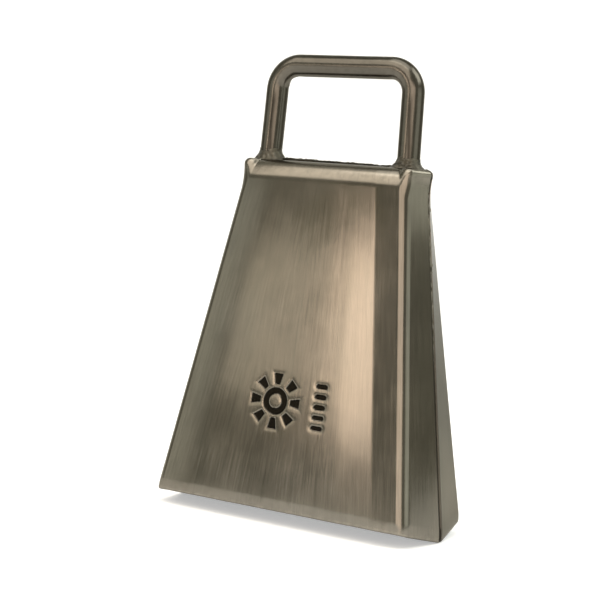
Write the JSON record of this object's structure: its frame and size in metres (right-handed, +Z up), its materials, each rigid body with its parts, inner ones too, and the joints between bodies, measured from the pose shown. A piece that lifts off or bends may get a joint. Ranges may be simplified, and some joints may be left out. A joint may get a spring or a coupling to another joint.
{
  "type": "hand cowbell",
  "caption": "Tapered flat-sided steel cowbell with a welded rod handle on its crown, an open slanted mouth and a clapper hung loose inside.",
  "frame": {"origin": "under the middle of the bell, level with the lowest tips of its side seams", "axes": "+X across the wide faces, -Y out of the front face that carries the stamped mark, +Z up to the handle"},
  "size_m": [0.1078, 0.0498, 0.1656],
  "materials": {
    "bell_plate": "dark antique plating, brushed up and down, satin",
    "handle_plate": "dark antique plating over a bent round rod, satin",
    "weld": "rough dark weld metal under the same plating",
    "clapper_wire": "drawn steel wire, dulled",
    "clapper_steel": "turned steel ball, satin"
  },
  "bodies": {
    "bell": {"front_shell": "bell_plate", "rear_shell": "bell_plate", "left_seam_weld": "weld", "right_seam_weld": "weld", "crown_seam_weld": "weld", "handle": "handle_plate", "left_handle_weld": "weld", "right_handle_weld": "weld", "clapper_staple": "clapper_wire", "left_staple_weld": "weld", "right_staple_weld": "weld"},
    "link": {"clapper_link": "clapper_wire"},
    "clapper": {"clapper_rod": "clapper_wire", "clapper_ball": "clapper_steel"}
  },
  "joints": [
    {"name": "link_swing", "type": "hinge", "parent": "bell", "child": "link", "pos_m": [0, 0, 0.1168], "axis": [1, 0, 0], "range_deg": [-6, 6]},
    {"name": "clapper_swing", "type": "hinge", "parent": "link", "child": "clapper", "pos_m": [0, 0, 0.1059], "axis": [0, 1, 0], "range_deg": [-27, 27]}
  ]
}
